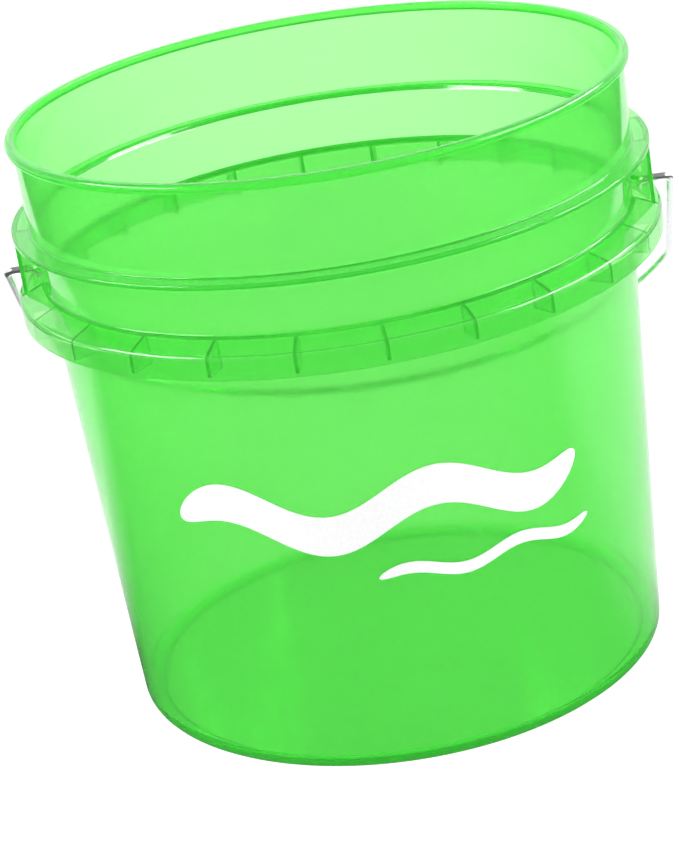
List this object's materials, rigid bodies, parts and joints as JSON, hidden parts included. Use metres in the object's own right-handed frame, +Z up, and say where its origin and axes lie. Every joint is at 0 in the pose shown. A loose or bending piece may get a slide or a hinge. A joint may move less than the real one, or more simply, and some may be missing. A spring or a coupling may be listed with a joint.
{
  "type": "wash bucket",
  "caption": "Translucent green plastic wash bucket with a neck flange, a webbed skirt and a swinging steel wire bail hung from moulded ears.",
  "frame": {"origin": "centre of the base, on the surface that the bucket stands on", "axes": "+Z up through the open mouth, +X through the bail ears, +Y towards the side where the bail hangs at rest"},
  "size_m": [0.3322, 0.3166, 0.3],
  "materials": {
    "green_plastic": "polished translucent polypropylene, bright green",
    "bright_steel": "bright drawn wire, zinc plated"
  },
  "bodies": {
    "bucket": {"bucket": "green_plastic"},
    "bail": {"bail": "bright_steel"}
  },
  "joints": [
    {"name": "bail_hinge", "type": "hinge", "parent": "bucket", "child": "bail", "pos_m": [0, 0, 0.2295], "axis": [1, 0, 0], "range_deg": [0, 269.5]}
  ]
}
